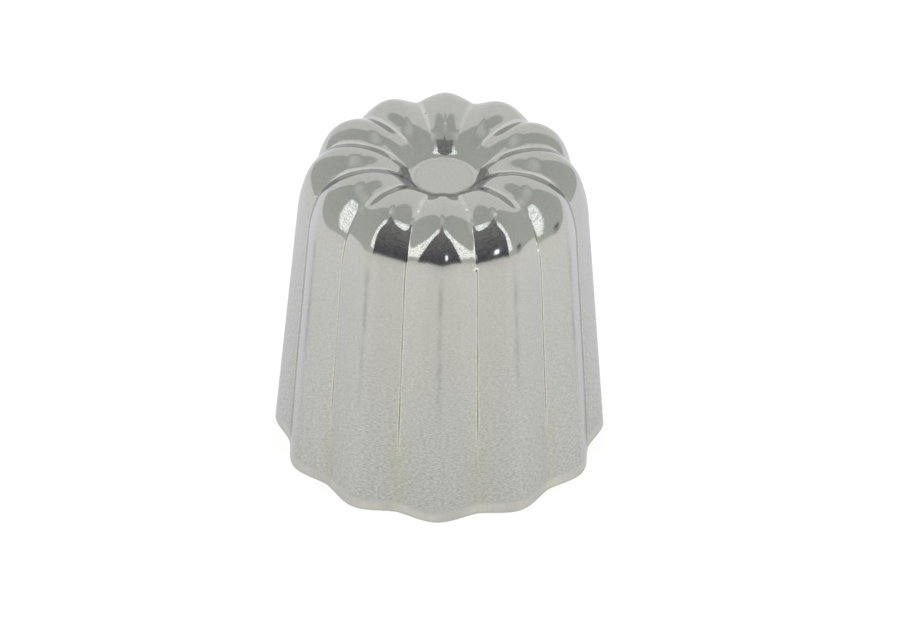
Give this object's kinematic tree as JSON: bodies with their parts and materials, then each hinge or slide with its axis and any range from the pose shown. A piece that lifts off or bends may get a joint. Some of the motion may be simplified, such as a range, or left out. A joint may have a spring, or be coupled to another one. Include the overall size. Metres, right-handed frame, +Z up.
{
  "type": "canele mould",
  "caption": "Fluted canele baking mould, pressed from one bright sheet, with a lobed crown round a sunken centre disc; stands upside down on its mouth.",
  "frame": {"origin": "centre of the mouth plane, on which the mould stands upside down", "axes": "+Z up along the mould's axis, from the mouth to the crown; -Y through one of the ridges"},
  "size_m": [0.055, 0.055, 0.0545],
  "materials": {
    "bright_pressed_sheet": "polished"
  },
  "bodies": {
    "root": {"mould_shell": "bright_pressed_sheet"}
  },
  "joints": []
}
